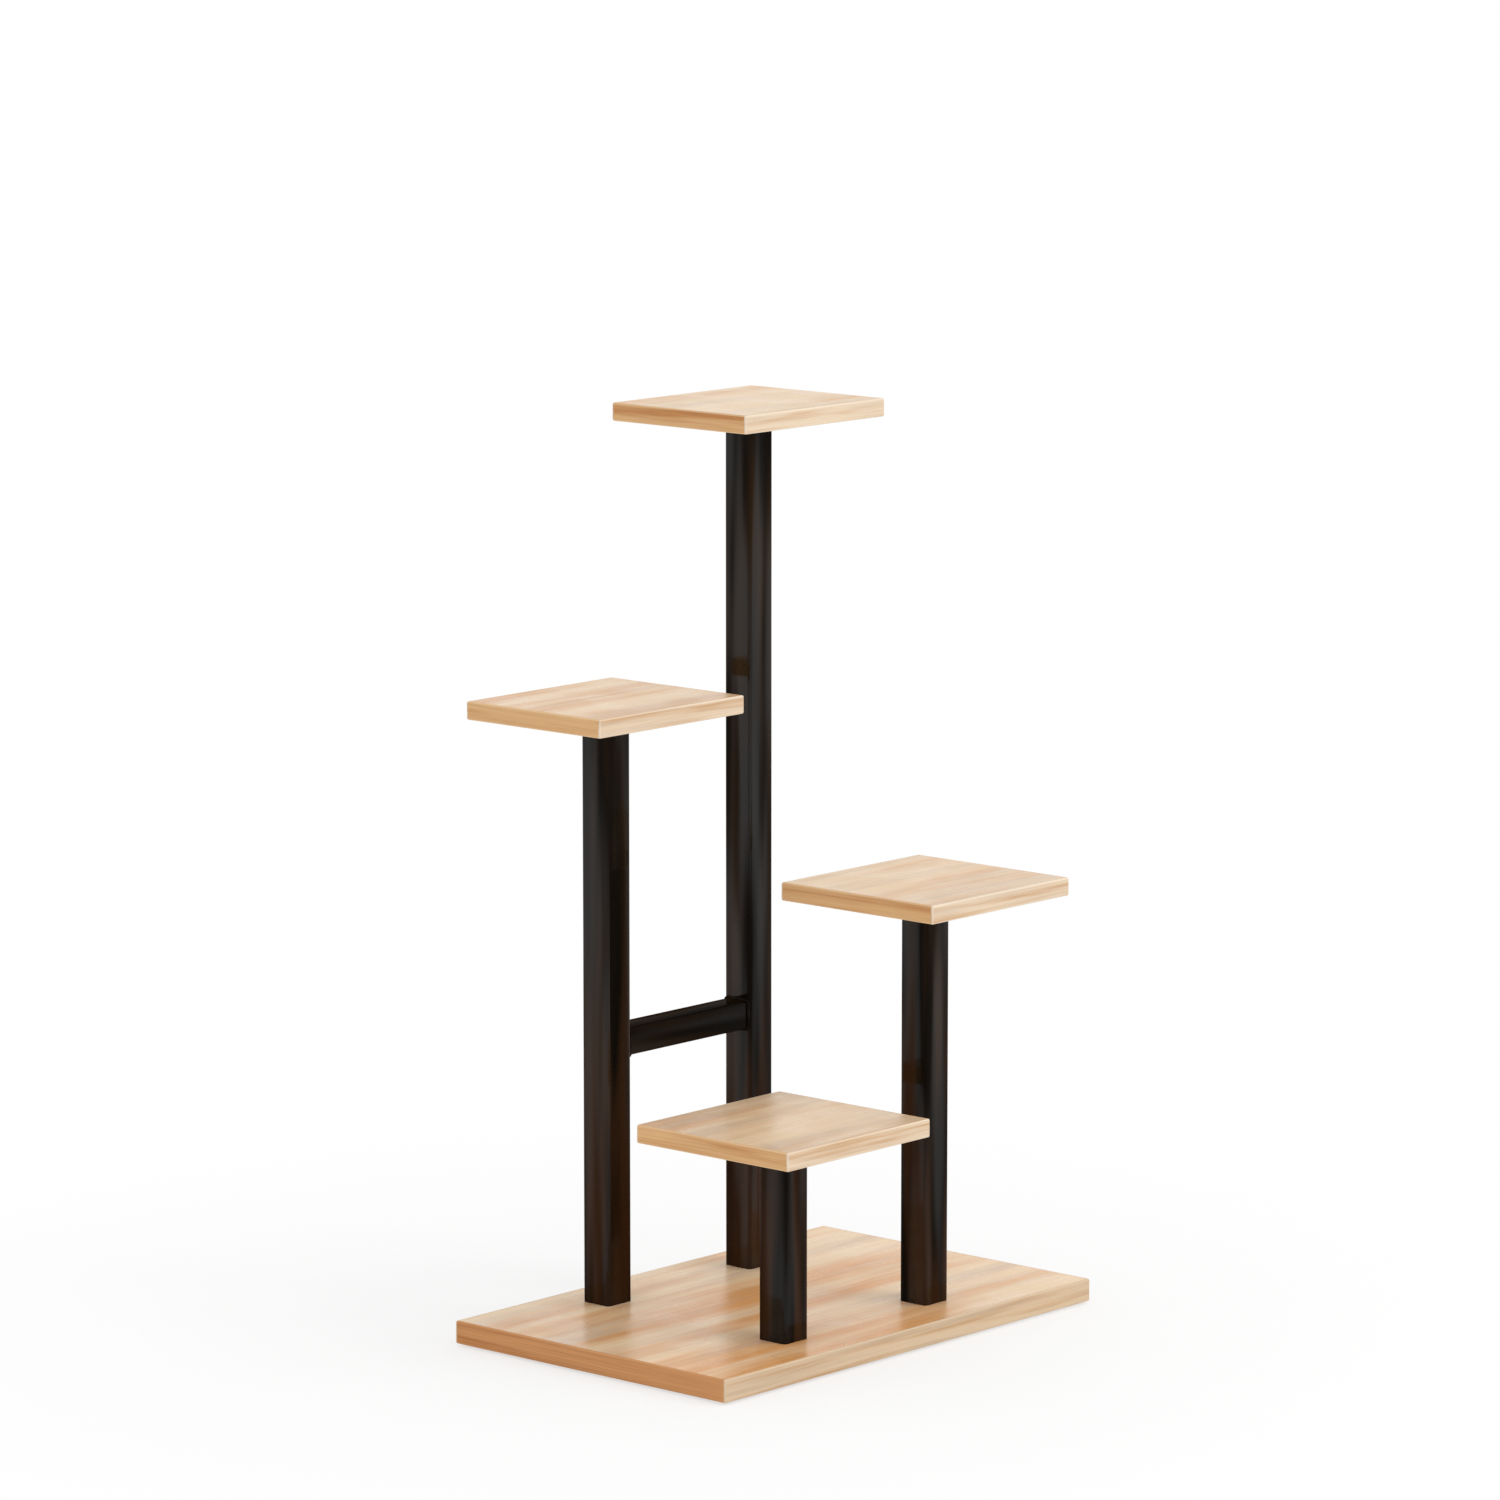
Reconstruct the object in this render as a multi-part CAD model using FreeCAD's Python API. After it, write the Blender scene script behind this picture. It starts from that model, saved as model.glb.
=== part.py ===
import FreeCAD, Part
import math
import os
from collections import namedtuple

# Plant shelf: a banded base board carries four square steel posts of different
# heights, each with a small banded shelf on top. A crossbar ties the rear posts.
# Millimetres. X runs to the right along the base, Y to the rear and Z up.
# The origin is on the floor, under the middle of the base.

# Boards
base_width = 480.0
base_depth = 310.0
base_thickness = 20.0
shelf_width = 182.0
front_shelf_depth = 170.0
rear_shelf_depth = 155.0
shelf_thickness = 16.0
band_thickness = 2.0  # edge band glued on all four sides of a board
arris_radius = 1.6  # rounding of the outer corners of the bands

# Layout
column_spacing = 184.0  # left posts to right posts, axis to axis
column_shift = -10.0  # middle of the columns from the middle of the base
shelf_overhang = 27.5  # shelves past the front and rear edges of the base
front_left_height = 210.0  # floor to the top of each shelf
front_right_height = 392.0
rear_left_height = 550.0
rear_right_height = 790.0
crossbar_height = 238.0  # floor to the underside of the crossbar

# Steel frame
tube_side = 30.0
tube_wall = 1.5
tube_corner = 3.0
crossbar_setback = 2.5  # post face to crossbar face
crossbar_wall = 1.2
crossbar_corner = 2.5
weld_leg = 2.0
top_plate_side = 90.0
top_plate_thickness = 3.0
top_plate_corner = 8.0
foot_plate_thickness = 4.0
foot_plate_clearance = 0.2  # foot plate to the inside of the tube, each side

# Knock-down bolts through the base
bolt_diameter = 8.0
bolt_head_diameter = 13.0
bolt_head_height = 5.0
bolt_chamfer = 0.8
bolt_socket = 5.0  # across flats
bolt_socket_depth = 2.7
bolt_clearance = 0.5  # bolt to its holes, radially
bolt_end = 3.0  # bolt past its nut
head_recess = 1.0  # bolt head below the underside of the base
washer_diameter = 16.0
washer_thickness = 1.6
washer_clearance = 1.0  # washer to its counterbore, radially
nut_flats = 13.0
nut_height = 6.5

# Countersunk shelf screws
screw_diameter = 4.0
screw_head_diameter = 8.0
screw_bite = 11.0  # screw in the shelf
screw_tip = 3.0
screw_inset = 10.0  # plate edge to screw axis
screw_clearance = 0.25  # screw to its hole in the plate, radially

# Floor pads
pad_diameter = 30.0
pad_thickness = 2.0
pad_inset = 30.0  # base edge to pad centre

# Derived places and fits
base_underside = pad_thickness
base_top = base_underside + base_thickness
left_x = column_shift - column_spacing / 2
right_x = column_shift + column_spacing / 2
front_y = -base_depth / 2 - shelf_overhang + front_shelf_depth / 2
rear_y = base_depth / 2 + shelf_overhang - rear_shelf_depth / 2
crossbar_side = tube_side - 2 * crossbar_setback
bolt_hole = bolt_diameter + 2 * bolt_clearance
counterbore = washer_diameter + 2 * washer_clearance
counterbore_depth = head_recess + bolt_head_height + washer_thickness
bolt_seat = base_underside + counterbore_depth - washer_thickness
nut_seat = base_top + foot_plate_thickness
bolt_length = nut_seat + nut_height + bolt_end - bolt_seat
screw_hole = screw_diameter + 2 * screw_clearance
screw_length = top_plate_thickness + screw_bite
screw_offset = top_plate_side / 2 - screw_inset

Post = namedtuple("Post", "name x y shelf_depth shelf_top")
POSTS = (
    Post("front_left", left_x, front_y, front_shelf_depth, front_left_height),
    Post("front_right", right_x, front_y, front_shelf_depth, front_right_height),
    Post("rear_left", left_x, rear_y, rear_shelf_depth, rear_left_height),
    Post("rear_right", right_x, rear_y, rear_shelf_depth, rear_right_height),
)

V = FreeCAD.Vector
UP = V(0, 0, 1)


def export(name, *solids):
    """Write one node, a single solid or a group of separate solids."""
    shape = solids[0] if len(solids) == 1 else Part.makeCompound(list(solids))
    shape.exportStep(f"parts/{name}.step")


def moved(shape, x, y, z):
    """Return a copy of the shape carried from the origin to a place."""
    copy = shape.copy()
    copy.translate(V(x, y, z))
    return copy


def centred_box(width, depth, height, x=0.0, y=0.0, z=0.0):
    """Box standing on z, centred on x and y."""
    return Part.makeBox(width, depth, height, V(x - width / 2, y - depth / 2, z))


def cylinder(diameter, height, x, y, z):
    """Upright cylinder standing on z."""
    return Part.makeCylinder(diameter / 2, height, V(x, y, z), UP)


def rounded_square(side, radius, z=0.0):
    """Closed profile of a square with rounded corners, centred on the Z axis."""
    half, flat, reach = side / 2, side / 2 - radius, radius * math.sqrt(0.5)
    lines = []
    for quarter in range(4):
        turn = FreeCAD.Rotation(UP, 90 * quarter)
        points = [
            V(half, -flat, z),
            V(half, flat, z),
            V(flat + reach, flat + reach, z),
            V(flat, half, z),
        ]
        start, end, middle, finish = [turn.multVec(point) for point in points]
        lines.append(Part.makeLine(start, end))
        lines.append(Part.Arc(end, middle, finish).toShape())
    return Part.Wire(lines)


def bar(side, radius, length):
    """Solid square bar with rounded corners, standing on the origin."""
    return Part.Face(rounded_square(side, radius)).extrude(V(0, 0, length))


def tube(side, wall, radius, length):
    """Square tube, its bore drawn parallel to the outside."""
    return bar(side, radius, length).cut(bar(side - 2 * wall, radius - wall, length))


def weld_ring(side, radius):
    """Fillet weld round a square section that stands on a flat face at z = 0."""
    toe = rounded_square(side + 2 * weld_leg, radius + weld_leg)
    bead = Part.makeLoft([toe, rounded_square(side, radius, weld_leg)], True)
    return bead.cut(bar(side, radius, weld_leg))


def weld_skirt(side, radius, depth):
    """Filler under a weld ring, down to the given depth below the face at z = 0."""
    filler = bar(side + 2 * weld_leg, radius + weld_leg, depth)
    return moved(filler.cut(bar(side, radius, depth)), 0, 0, -depth)


def hexagon(flats, height, z=0.0):
    """Hexagonal prism on the Z axis."""
    radius = flats / math.sqrt(3)
    corners = [
        V(radius * math.cos(math.radians(60 * i)), radius * math.sin(math.radians(60 * i)), z)
        for i in range(7)
    ]
    return Part.Face(Part.makePolygon(corners)).extrude(V(0, 0, height))


def revolved(outline):
    """Solid turned about the Z axis from (diameter, height) corners that begin and end on it."""
    points = [V(diameter / 2, 0, height) for diameter, height in outline]
    return Part.Face(Part.makePolygon(points + points[:1])).revolve(V(0, 0, 0), UP, 360)


def board(prefix, width, depth, thickness, x, y, z, holes):
    """Export a bored panel and its four edge bands, cut from one rounded slab."""
    slab = centred_box(width, depth, thickness, x, y, z)
    slab = slab.makeFillet(arris_radius, slab.Edges)
    inner_width, inner_depth = width - 2 * band_thickness, depth - 2 * band_thickness
    panel = slab.common(centred_box(inner_width, inner_depth, thickness, x, y, z))
    export(f"{prefix}_board", panel.cut(Part.makeCompound(holes)))
    long_reach, side_reach = (depth - band_thickness) / 2, (width - band_thickness) / 2
    bands = {
        "front": centred_box(width, band_thickness, thickness, x, y - long_reach, z),
        "rear": centred_box(width, band_thickness, thickness, x, y + long_reach, z),
        "left": centred_box(band_thickness, inner_depth, thickness, x - side_reach, y, z),
        "right": centred_box(band_thickness, inner_depth, thickness, x + side_reach, y, z),
    }
    for side, strip in bands.items():
        export(f"{prefix}_{side}_band", slab.common(strip))


def make_base():
    """Base board with a bolt hole and a counterbore per post, on its floor pads."""
    holes = []
    for post in POSTS:
        bore = cylinder(bolt_hole, base_thickness, post.x, post.y, base_underside)
        recess = cylinder(counterbore, counterbore_depth, post.x, post.y, base_underside)
        holes.append(bore.fuse(recess))
    board("base", base_width, base_depth, base_thickness, 0, 0, base_underside, holes)
    reach_x, reach_y = base_width / 2 - pad_inset, base_depth / 2 - pad_inset
    pads = [
        cylinder(pad_diameter, pad_thickness, reach_x * i, reach_y * j, 0)
        for i in (-1, 1)
        for j in (-1, 1)
    ]
    export("floor_pads", *pads)


def screw_places(post):
    """Axes of the four screws that hold a post's shelf."""
    return [
        (post.x + i * screw_offset, post.y + j * screw_offset) for i in (-1, 1) for j in (-1, 1)
    ]


def make_shelf(post):
    """Shelf board with pilot holes, on the plate and weld at the top of its post."""
    shelf_underside = post.shelf_top - shelf_thickness
    plate_underside = shelf_underside - top_plate_thickness
    pilots = [
        cylinder(screw_diameter, screw_bite, x, y, shelf_underside) for x, y in screw_places(post)
    ]
    board(
        f"{post.name}_shelf",
        shelf_width,
        post.shelf_depth,
        shelf_thickness,
        post.x,
        post.y,
        shelf_underside,
        pilots,
    )
    plate = moved(
        bar(top_plate_side, top_plate_corner, top_plate_thickness), post.x, post.y, plate_underside
    )
    countersink = revolved(
        [
            (0, 0),
            (screw_head_diameter, 0),
            (screw_hole, (screw_head_diameter - screw_hole) / 2),
            (screw_hole, top_plate_thickness),
            (0, top_plate_thickness),
        ]
    )
    for x, y in screw_places(post):
        plate = plate.cut(moved(countersink, x, y, plate_underside))
    export(f"{post.name}_top_plate", plate)
    weld = weld_ring(tube_side, tube_corner)
    weld.rotate(V(0, 0, 0), V(1, 0, 0), 180)
    export(f"{post.name}_plate_weld", moved(weld, post.x, post.y, plate_underside))


def make_post(post):
    """Post tube from the base to its top plate, with the foot plate in its lower end."""
    length = post.shelf_top - shelf_thickness - top_plate_thickness - base_top
    export(
        f"{post.name}_post",
        moved(tube(tube_side, tube_wall, tube_corner, length), post.x, post.y, base_top),
    )
    inside = tube_wall + foot_plate_clearance
    plate = bar(tube_side - 2 * inside, tube_corner - tube_wall, foot_plate_thickness)
    plate = plate.cut(cylinder(bolt_hole, foot_plate_thickness, 0, 0, 0))
    export(f"{post.name}_foot_plate", moved(plate, post.x, post.y, base_top))


def make_crossbar():
    """Crossbar between the rear posts, with a weld trimmed to each rounded post."""
    post_face = left_x + tube_side / 2
    middle_height = crossbar_height + crossbar_side / 2
    length = column_spacing - tube_side
    turn = (V(0, 0, 0), V(0, 1, 0), 90)
    crossbar = tube(crossbar_side, crossbar_wall, crossbar_corner, length)
    crossbar.rotate(*turn)
    export("crossbar", moved(crossbar, post_face, rear_y, middle_height))
    weld = weld_ring(crossbar_side, crossbar_corner)
    weld = weld.fuse(weld_skirt(crossbar_side, crossbar_corner, tube_corner)).removeSplitter()
    weld.rotate(*turn)
    envelope = moved(
        bar(tube_side, tube_corner, 2 * crossbar_side), -tube_side / 2, 0, -crossbar_side
    )
    left_weld = moved(weld.cut(envelope), post_face, rear_y, middle_height)
    right_weld = left_weld.mirror(V(column_shift, 0, 0), V(1, 0, 0))
    export("crossbar_welds", left_weld, right_weld)


def make_fasteners():
    """Bolts, washers and nuts of the posts, and the screws of the shelves."""
    bolt = revolved(
        [
            (0, -bolt_head_height),
            (bolt_head_diameter - 2 * bolt_chamfer, -bolt_head_height),
            (bolt_head_diameter, bolt_chamfer - bolt_head_height),
            (bolt_head_diameter, 0),
            (bolt_diameter, 0),
            (bolt_diameter, bolt_length - bolt_chamfer),
            (bolt_diameter - 2 * bolt_chamfer, bolt_length),
            (0, bolt_length),
        ]
    )
    bolt = bolt.cut(hexagon(bolt_socket, bolt_socket_depth, -bolt_head_height))
    washer = cylinder(washer_diameter, washer_thickness, 0, 0, 0)
    washer = washer.cut(cylinder(bolt_hole, washer_thickness, 0, 0, 0))
    nut = hexagon(nut_flats, nut_height).cut(cylinder(bolt_diameter, nut_height, 0, 0, 0))
    export("base_bolts", *[moved(bolt, post.x, post.y, bolt_seat) for post in POSTS])
    export("base_washers", *[moved(washer, post.x, post.y, bolt_seat) for post in POSTS])
    export("weld_nuts", *[moved(nut, post.x, post.y, nut_seat) for post in POSTS])
    screw = revolved(
        [
            (0, 0),
            (screw_head_diameter, 0),
            (screw_diameter, (screw_head_diameter - screw_diameter) / 2),
            (screw_diameter, screw_length - screw_tip),
            (0, screw_length),
        ]
    )
    screws = []
    for post in POSTS:
        seat = post.shelf_top - shelf_thickness - top_plate_thickness
        screws += [moved(screw, x, y, seat) for x, y in screw_places(post)]
    export("shelf_screws", *screws)


os.makedirs("parts", exist_ok=True)
make_base()
for post in POSTS:
    make_post(post)
    make_shelf(post)
make_crossbar()
make_fasteners()
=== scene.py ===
import logging
import math
from dataclasses import dataclass, replace
from enum import Enum
from typing import Any, Sequence, Union

import bpy
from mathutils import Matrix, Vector


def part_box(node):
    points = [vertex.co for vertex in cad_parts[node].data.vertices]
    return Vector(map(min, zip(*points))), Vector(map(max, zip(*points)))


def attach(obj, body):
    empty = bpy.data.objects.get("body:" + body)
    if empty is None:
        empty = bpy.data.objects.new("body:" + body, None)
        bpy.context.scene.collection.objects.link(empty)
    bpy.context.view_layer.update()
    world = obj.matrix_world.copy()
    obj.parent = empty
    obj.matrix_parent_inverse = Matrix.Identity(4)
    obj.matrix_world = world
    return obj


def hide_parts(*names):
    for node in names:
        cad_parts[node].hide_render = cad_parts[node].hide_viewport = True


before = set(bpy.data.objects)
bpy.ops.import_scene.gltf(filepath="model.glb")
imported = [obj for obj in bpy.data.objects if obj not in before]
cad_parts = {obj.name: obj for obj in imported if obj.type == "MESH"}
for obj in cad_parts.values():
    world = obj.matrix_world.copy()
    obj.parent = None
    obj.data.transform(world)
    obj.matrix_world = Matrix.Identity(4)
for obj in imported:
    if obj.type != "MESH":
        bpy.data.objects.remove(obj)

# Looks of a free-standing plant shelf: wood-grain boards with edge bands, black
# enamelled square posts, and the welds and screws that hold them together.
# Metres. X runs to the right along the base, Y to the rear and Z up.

LOG = logging.getLogger("plant_shelf")
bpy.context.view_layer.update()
MM = 0.001
NOISE_MIDDLE = 0.5
WHITE = (1.0, 1.0, 1.0, 1.0)
GEOMETRY = "NodeSocketGeometry"

Tone = tuple[float, float, float]
Triple = tuple[float, float, float]
Pair = tuple[float, float]
Value = Union[bpy.types.NodeSocket, float, int, bool, Sequence[float], bpy.types.Material]
Sockets = dict[str, tuple[str, Any]]


class Slot(Enum):
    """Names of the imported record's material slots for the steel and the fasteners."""

    ENAMEL = "black_enamel"
    ZINC = "zinc_steel"


class GrainRun(Enum):
    """Direction in which the wood grain runs, as a turn of the pattern about Z."""

    ALONG_X = 0.0
    ALONG_Y = math.pi / 2


class PostPlace(Enum):
    """The four posts, named by their place on the base."""

    FRONT_LEFT = "front_left"
    FRONT_RIGHT = "front_right"
    REAR_LEFT = "rear_left"
    REAR_RIGHT = "rear_right"


def tone(red: int, green: int, blue: int) -> Tone:
    """Turn a display colour into the linear colour that a shader takes.

    Args:
        red: Red level from 0 to 255.
        green: Green level from 0 to 255.
        blue: Blue level from 0 to 255.

    Returns:
        The linear red, green and blue.
    """
    # The numbers below are those of the sRGB standard.
    levels = (level / 255 for level in (red, green, blue))
    linear = [v / 12.92 if v <= 0.04045 else ((v + 0.055) / 1.055) ** 2.4 for v in levels]
    return linear[0], linear[1], linear[2]


class Graph:
    """Adds and links the nodes of one tree in few words."""

    def __init__(self, tree: bpy.types.NodeTree) -> None:
        """Start from an empty tree."""
        self.tree = tree
        tree.nodes.clear()

    def fill(self, node: bpy.types.Node, inputs: dict[Any, Value]) -> None:
        """Set or link inputs of a node.

        Args:
            node: The node.
            inputs: Values or sockets by the input's name or number.
        """
        for key, value in inputs.items():
            if isinstance(value, bpy.types.NodeSocket):
                self.tree.links.new(value, node.inputs[key])
            else:
                node.inputs[key].default_value = value

    def add(
        self, kind: str, inputs: dict[Any, Value] | None = None, **settings: Any
    ) -> bpy.types.Node:
        """Add a node, set its options and fill or link its inputs.

        Args:
            kind: Blender's name of the node type.
            inputs: Values or sockets by the input's name or number.
            **settings: Attributes of the node.

        Returns:
            The new node.
        """
        node = self.tree.nodes.new(kind)
        for name, value in settings.items():
            setattr(node, name, value)
        self.fill(node, inputs or {})
        return node

    def math(self, operation: str, first: Value, second: Value = 0.0) -> bpy.types.NodeSocket:
        """Return the result of one sum on two values."""
        return self.add("ShaderNodeMath", {0: first, 1: second}, operation=operation).outputs[0]

    def vector(self, operation: str, first: Value, second: Value) -> bpy.types.NodeSocket:
        """Return the result of one sum on two vectors."""
        node = self.add("ShaderNodeVectorMath", {0: first, 1: second}, operation=operation)
        return node.outputs[0]

    def join(self, x: Value, y: Value, z: Value) -> bpy.types.NodeSocket:
        """Return a vector made of three values."""
        return self.add("ShaderNodeCombineXYZ", {0: x, 1: y, 2: z}).outputs[0]

    def spread(
        self, value: Value, low: float, high: float, to_low: Value = 0.0, to_high: Value = 1.0
    ) -> bpy.types.NodeSocket:
        """Carry a value smoothly from one range to another, clamped.

        Args:
            value: The value to carry over.
            low: Lower end of its range.
            high: Upper end of its range.
            to_low: What the lower end becomes.
            to_high: What the upper end becomes.

        Returns:
            The socket with the result.
        """
        inputs = {"Value": value, 1: low, 2: high, 3: to_low, 4: to_high}
        return self.add("ShaderNodeMapRange", inputs, interpolation_type="SMOOTHSTEP").outputs[0]

    def blend(
        self, factor: Value, first: Value, second: Value, kind: str = "MIX"
    ) -> bpy.types.NodeSocket:
        """Mix two colours.

        Args:
            factor: Share of the second colour.
            first: Colour at factor 0.
            second: Colour at factor 1.
            kind: Blender's name of the blend type.

        Returns:
            The socket with the mixed colour.
        """
        inputs = {0: factor, 6: first, 7: second}
        return self.add("ShaderNodeMix", inputs, data_type="RGBA", blend_type=kind).outputs[2]

    def noise(
        self, vector: Value, detail: float, rough: float = 0.5, scale: Value = 1.0
    ) -> bpy.types.NodeSocket:
        """Return a noise value from 0 to 1.

        Args:
            vector: Where the noise is read.
            detail: Octaves above the first.
            rough: Share of each octave in the next.
            scale: Its frequency, per unit of the vector.

        Returns:
            The socket with the value.
        """
        inputs = {"Vector": vector, "Scale": scale, "Detail": detail, "Roughness": rough}
        return self.add("ShaderNodeTexNoise", inputs).outputs[0]

    def swing(self, vector: Value, rate: Triple, reach: Value) -> bpy.types.NodeSocket:
        """Return a soft random shift across the grain.

        Args:
            vector: Where the shift is read.
            rate: Its frequency along and across the grain.
            reach: How far it shifts at most, about.

        Returns:
            The socket with the shift.
        """
        place = self.vector("MULTIPLY", vector, rate)
        noise = self.add("ShaderNodeTexNoise", {"Vector": place, "Scale": 1.0})
        shift = self.vector("SUBTRACT", noise.outputs["Color"], (NOISE_MIDDLE,) * 3)
        return self.vector("MULTIPLY", shift, self.join(0.0, reach, reach))

    def raised(self, mesh: bpy.types.Node, height: Value) -> bpy.types.Node:
        """Return a node that moves a mesh up.

        Args:
            mesh: The node that makes the mesh.
            height: How far it goes up.

        Returns:
            The node with the moved mesh.
        """
        lift = self.join(0.0, 0.0, height)
        return self.add("GeometryNodeTransform", {"Geometry": mesh.outputs[0], "Translation": lift})

    def finish_mesh(
        self, mesh: bpy.types.Node, material: Value, result: bpy.types.Node
    ) -> None:
        """End a Geometry Nodes tree in real geometry with its material.

        Args:
            mesh: The node that makes the last mesh or its instances.
            material: The material for all faces.
            result: The tree's output node.
        """
        real = self.add("GeometryNodeRealizeInstances", {"Geometry": mesh.outputs[0]})
        inputs = {"Geometry": real.outputs[0], "Material": material}
        self.fill(result, {0: self.add("GeometryNodeSetMaterial", inputs).outputs[0]})


def start_tree(
    name: str, kind: str, inputs: Sockets, outputs: dict[str, str]
) -> tuple[Graph, bpy.types.NodeOutputs, bpy.types.Node]:
    """Start a shader group or a Geometry Nodes tree.

    Args:
        name: Name of the tree.
        kind: Blender's name of the tree type.
        inputs: Socket type and default value by input name.
        outputs: Socket type by output name.

    Returns:
        The tree's graph, the sockets it is given, and its output node.
    """
    tree = bpy.data.node_groups.new(name, kind)
    for label, (socket_type, default) in inputs.items():
        socket = tree.interface.new_socket(name=label, in_out="INPUT", socket_type=socket_type)
        if default is not None:
            socket.default_value = default
    for label, socket_type in outputs.items():
        tree.interface.new_socket(name=label, in_out="OUTPUT", socket_type=socket_type)
    graph = Graph(tree)
    return graph, graph.add("NodeGroupInput").outputs, graph.add("NodeGroupOutput")


@dataclass(frozen=True)
class GrainPattern:
    """Rates and levels of the printed wood grain, along and across it.

    The sway and the feathering are given per metre and the other rates per streak. A noise
    is given by its octaves and its roughness, and levels are the part of it that is used.
    """

    sway_rate: Triple = (4.0, 6.0, 6.0)
    sway_share: float = 0.55
    feather_rate: Triple = (24.0, 90.0, 90.0)
    feather_share: float = 0.12
    streak_noise: Pair = (2.5, 0.55)
    broad_rate: Triple = (0.6, 0.22, 0.22)
    broad_octaves: float = 1.0
    broad_share: float = 0.65
    honey_levels: Pair = (0.42, 0.80)
    ash_rate: Triple = (0.8, 0.7, 0.7)
    ash_start: Triple = (31.0, 7.0, 3.0)
    ash_levels: Pair = (0.46, 0.78)
    ash_share: float = 0.85
    line_rate: Triple = (1.1, 9.0, 9.0)
    line_noise: Pair = (3.0, 0.65)
    line_levels: Pair = (0.40, 0.72)
    line_on_cream: float = 0.5
    fibre_cell: Triple = (70.0 * MM, 0.9 * MM, 0.9 * MM)
    fibre_noise: Pair = (2.0, 0.6)
    fibre_levels: Pair = (0.30, 0.70)


def wood_grain_group(pattern: GrainPattern) -> bpy.types.NodeTree:
    """Build the printed wood grain: broad soft streaks, fine lines and fibres along X.

    Args:
        pattern: Its rates and levels.

    Returns:
        A shader group with a colour and a fibre height.
    """
    g, given, result = start_tree(
        "wood grain",
        "ShaderNodeTree",
        {
            "Vector": ("NodeSocketVector", None),
            "Cream": ("NodeSocketColor", (0.8, 0.6, 0.4, 1)),
            "Honey": ("NodeSocketColor", (0.7, 0.45, 0.25, 1)),
            "Ash": ("NodeSocketColor", (0.6, 0.5, 0.4, 1)),
            "Line": ("NodeSocketColor", (0.5, 0.3, 0.15, 1)),
            "Streak Length": ("NodeSocketFloat", 0.3),
            "Streak Width": ("NodeSocketFloat", 0.03),
            "Line Depth": ("NodeSocketFloat", 0.25),
            "Fibre Depth": ("NodeSocketFloat", 0.05),
        },
        {"Color": "NodeSocketColor", "Height": "NodeSocketFloat"},
    )
    place, width, length = given["Vector"], given["Streak Width"], given["Streak Length"]
    sway_reach = g.math("MULTIPLY", width, pattern.sway_share)
    feather_reach = g.math("MULTIPLY", width, pattern.feather_share)
    sway = g.swing(place, pattern.sway_rate, sway_reach)
    feather = g.swing(place, pattern.feather_rate, feather_reach)
    bent = g.vector("ADD", place, g.vector("ADD", sway, feather))
    streak = g.vector("DIVIDE", bent, g.join(length, width, width))

    broad = g.noise(g.vector("MULTIPLY", streak, pattern.broad_rate), pattern.broad_octaves)
    broad = g.math("MULTIPLY", g.math("SUBTRACT", broad, NOISE_MIDDLE), pattern.broad_share)
    honey = g.math("ADD", g.noise(streak, *pattern.streak_noise), broad)
    honey = g.spread(honey, *pattern.honey_levels)
    drift = g.vector("ADD", g.vector("MULTIPLY", streak, pattern.ash_rate), pattern.ash_start)
    ash = g.noise(drift, *pattern.streak_noise)
    ash = g.spread(ash, *pattern.ash_levels, 0.0, pattern.ash_share)
    lines = g.noise(g.vector("MULTIPLY", streak, pattern.line_rate), *pattern.line_noise)
    lines = g.spread(lines, *pattern.line_levels)
    fibre = g.noise(g.vector("DIVIDE", bent, pattern.fibre_cell), *pattern.fibre_noise)

    colour = g.blend(honey, given["Cream"], given["Honey"])
    colour = g.blend(ash, colour, given["Ash"])
    strength = g.spread(honey, 0.0, 1.0, pattern.line_on_cream, 1.0)
    strength = g.math("MULTIPLY", given["Line Depth"], strength)
    colour = g.blend(g.math("MULTIPLY", lines, strength), colour, given["Line"])
    darkest = g.math("SUBTRACT", 1.0, given["Fibre Depth"])
    shade = g.spread(fibre, *pattern.fibre_levels, darkest, 1.0)
    shade = g.add("ShaderNodeCombineColor", {0: shade, 1: shade, 2: shade}).outputs[0]
    g.fill(result, {"Color": g.blend(1.0, colour, shade, "MULTIPLY"), "Height": fibre})
    return g.tree


def mottle_group(octaves: float = 1.5, levels: Pair = (0.35, 0.65)) -> bpy.types.NodeTree:
    """Build the uneven gloss that every handled or sprayed surface has.

    Args:
        octaves: Fineness of the patches.
        levels: Part of the noise that is used.

    Returns:
        A shader group with a roughness between its low and high inputs.
    """
    g, given, result = start_tree(
        "mottled gloss",
        "ShaderNodeTree",
        {
            "Vector": ("NodeSocketVector", None),
            "Scale": ("NodeSocketFloat", 20.0),
            "Low": ("NodeSocketFloat", 0.2),
            "High": ("NodeSocketFloat", 0.3),
        },
        {"Roughness": "NodeSocketFloat"},
    )
    patch = g.noise(given["Vector"], octaves, scale=given["Scale"])
    g.fill(result, {"Roughness": g.spread(patch, *levels, given["Low"], given["High"])})
    return g.tree


@dataclass(frozen=True)
class ShaderGroups:
    """Effects that more than one finish uses."""

    grain: bpy.types.NodeTree
    mottle: bpy.types.NodeTree

    def roughness(
        self, g: Graph, place: Value, scale: float, gloss: Pair
    ) -> bpy.types.NodeSocket:
        """Place the mottled gloss in a material.

        Args:
            g: The material's graph.
            place: Where the pattern is read.
            scale: Frequency of the patches, per metre.
            gloss: Lowest and highest roughness.

        Returns:
            The socket with the roughness.
        """
        inputs = {"Vector": place, "Scale": scale, "Low": gloss[0], "High": gloss[1]}
        return g.add("ShaderNodeGroup", inputs, node_tree=self.mottle).outputs["Roughness"]


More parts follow.
